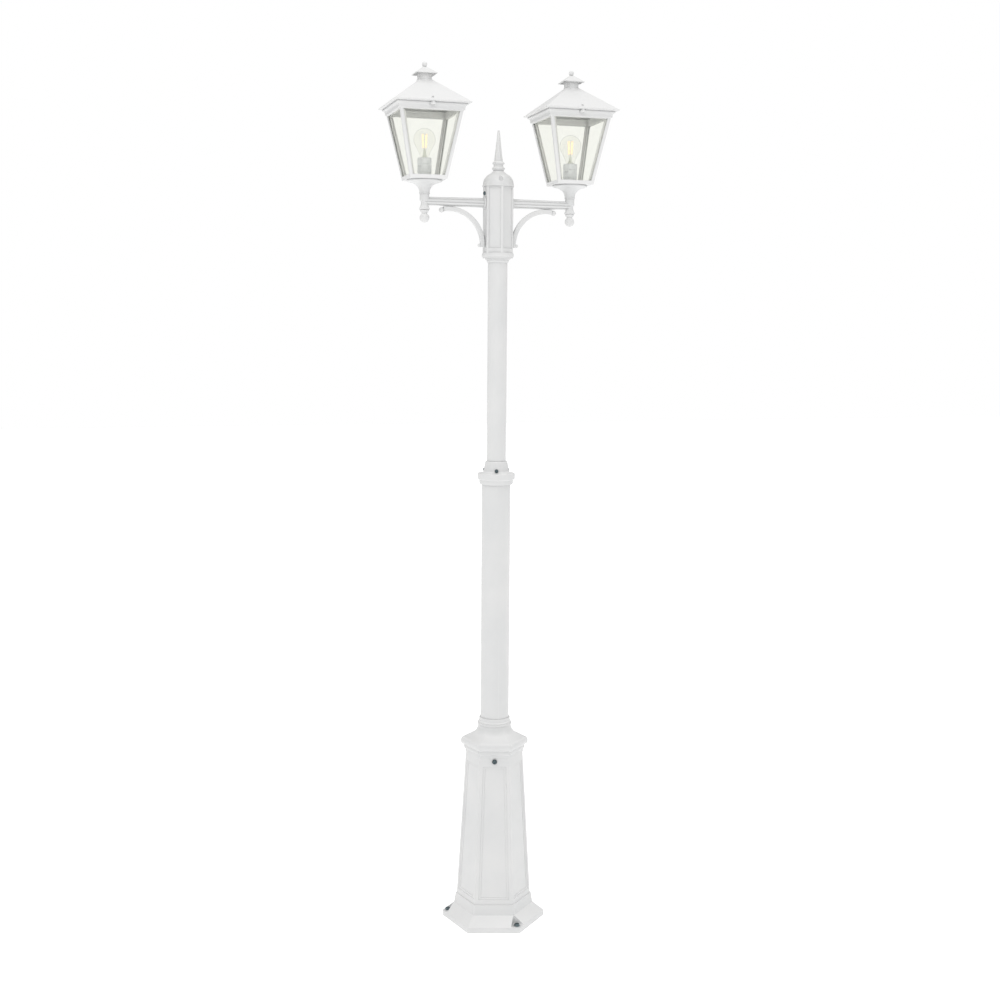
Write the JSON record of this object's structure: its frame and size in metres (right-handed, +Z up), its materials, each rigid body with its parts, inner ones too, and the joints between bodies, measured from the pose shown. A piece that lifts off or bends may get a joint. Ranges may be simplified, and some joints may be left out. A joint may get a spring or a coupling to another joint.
{
  "type": "street lamp post",
  "caption": "Hexagonal-based lamp post with a stepped pole, scroll-bracketed arms and square glazed lanterns with hinged roofs.",
  "frame": {"origin": "centre of the foot's underside, on the ground", "axes": "+Z up along the pole, X along the two arms, -Y towards the hinged edge of the lantern roofs"},
  "size_m": [0.6166, 0.2816, 2.3723],
  "materials": {
    "white_coat": "fine-textured white powder coat on cast and extruded aluminium",
    "dark_fixings": "dark passivated stainless steel",
    "zinc_steel": "bright zinc-plated steel",
    "bare_aluminium": "uncoated cast aluminium",
    "lantern_glass": "clear float glass with a faint green cast",
    "lamp_glass": "thin clear lamp glass",
    "filament": "warm yellow filament strips on a clear glass stem",
    "lamp_cap_metal": "nickel-plated screw cap",
    "holder_ceramic": "light grey satin lamp holder",
    "black_plastic": "black moulded nylon",
    "terminal_plastic": "natural polyamide terminal housing",
    "cable_sheath": "black rubber cable sheath",
    "lead_sheath": "white silicone lead sheath"
  },
  "bodies": {
    "post": {"base_casting": "white_coat", "base_crown": "white_coat", "crown_screws": "dark_fixings", "anchor_bolts": "dark_fixings", "anchor_washers": "dark_fixings", "lower_pole": "white_coat", "pole_collar": "white_coat", "collar_screws": "dark_fixings", "guide_bush": "black_plastic", "terminal_block": "terminal_plastic", "pole_cable": "cable_sheath"},
    "head": {"upper_pole": "white_coat", "hub_ring": "white_coat", "hub_body": "white_coat", "hub_bridge": "bare_aluminium", "hub_screws": "dark_fixings", "hub_connector": "terminal_plastic", "dome_cap": "white_coat", "spire": "white_coat", "arm_rosettes": "white_coat", "arm_nuts": "zinc_steel", "arm_finials": "white_coat", "bracket_screws": "zinc_steel", "bracket_pins": "zinc_steel", "stem_tubes": "zinc_steel", "stem_locknuts": "zinc_steel", "glazing_strips": "white_coat", "hinge_pins": "zinc_steel", "arm_left": "white_coat", "scroll_bracket_left": "white_coat", "cup_left": "white_coat", "lantern_frame_left": "white_coat", "panes_left": "lantern_glass", "lamp_holder_left": "holder_ceramic", "lamp_lead_left": "lead_sheath", "arm_right": "white_coat", "scroll_bracket_right": "white_coat", "cup_right": "white_coat", "lantern_frame_right": "white_coat", "panes_right": "lantern_glass", "lamp_holder_right": "holder_ceramic", "lamp_lead_right": "lead_sheath"},
    "roof_left": {"roof_left": "white_coat", "hinge_leaf_left": "white_coat", "chimney_left": "white_coat", "chimney_cap_left": "white_coat", "ball_finial_left": "white_coat"},
    "thumb_left": {"thumb_screw_left": "zinc_steel"},
    "lamp_left": {"lamp_cap_left": "lamp_cap_metal", "lamp_glass_left": "lamp_glass", "lamp_filament_left": "filament"},
    "roof_right": {"roof_right": "white_coat", "hinge_leaf_right": "white_coat", "chimney_right": "white_coat", "chimney_cap_right": "white_coat", "ball_finial_right": "white_coat"},
    "thumb_right": {"thumb_screw_right": "zinc_steel"},
    "lamp_right": {"lamp_cap_right": "lamp_cap_metal", "lamp_glass_right": "lamp_glass", "lamp_filament_right": "filament"}
  },
  "joints": [
    {"name": "head_swivel", "type": "hinge", "parent": "post", "child": "head", "pos_m": [0, 0, 1.3], "axis": [0, 0, 1], "range_deg": [-90, 90]},
    {"name": "roof_left_hinge", "type": "hinge", "parent": "head", "child": "roof_left", "pos_m": [-0.2047, -0.0976, 2.2518], "axis": [1, 0, 0], "range_deg": [0, 100]},
    {"name": "thumb_left_turn", "type": "hinge", "parent": "roof_left", "child": "thumb_left", "pos_m": [-0.2047, 0.0986, 2.2608], "axis": [0, 0, 1], "continuous": true},
    {"name": "lamp_left_turn", "type": "hinge", "parent": "head", "child": "lamp_left", "pos_m": [-0.2047, 0, 2.0953], "axis": [0, 0, 1], "continuous": true},
    {"name": "roof_right_hinge", "type": "hinge", "parent": "head", "child": "roof_right", "pos_m": [0.2047, -0.0976, 2.2518], "axis": [1, 0, 0], "range_deg": [0, 100]},
    {"name": "thumb_right_turn", "type": "hinge", "parent": "roof_right", "child": "thumb_right", "pos_m": [0.2047, 0.0986, 2.2608], "axis": [0, 0, 1], "continuous": true},
    {"name": "lamp_right_turn", "type": "hinge", "parent": "head", "child": "lamp_right", "pos_m": [0.2047, 0, 2.0953], "axis": [0, 0, 1], "continuous": true}
  ]
}
